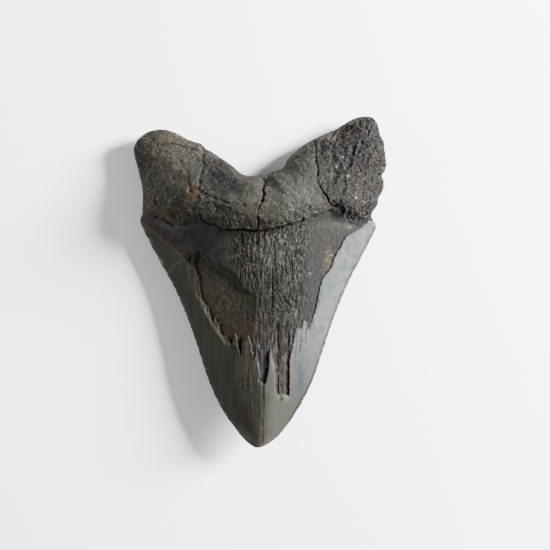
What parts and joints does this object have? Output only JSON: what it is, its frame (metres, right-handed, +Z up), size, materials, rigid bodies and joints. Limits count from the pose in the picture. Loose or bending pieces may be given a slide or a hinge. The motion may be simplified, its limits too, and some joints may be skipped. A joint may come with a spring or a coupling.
{
  "type": "megalodon tooth",
  "caption": "Large fossil shark tooth lying on its flat outer face: thick two-lobed root, dark neck band, and a broad pointed crown whose enamel is broken back to fibrous dentine.",
  "frame": {"origin": "under the middle of the tooth's length and width, at the height of the flat outer face it rests on", "axes": "+X across the tooth to the broken root lobe's side, +Y from the crown's tip towards the root, +Z up through the rounded inner face"},
  "size_m": [0.1042, 0.1362, 0.0279],
  "materials": {
    "fossil": "satin on the enamel, matt on the root and the bare dentine"
  },
  "bodies": {
    "root": {"tooth": "fossil"}
  },
  "joints": []
}
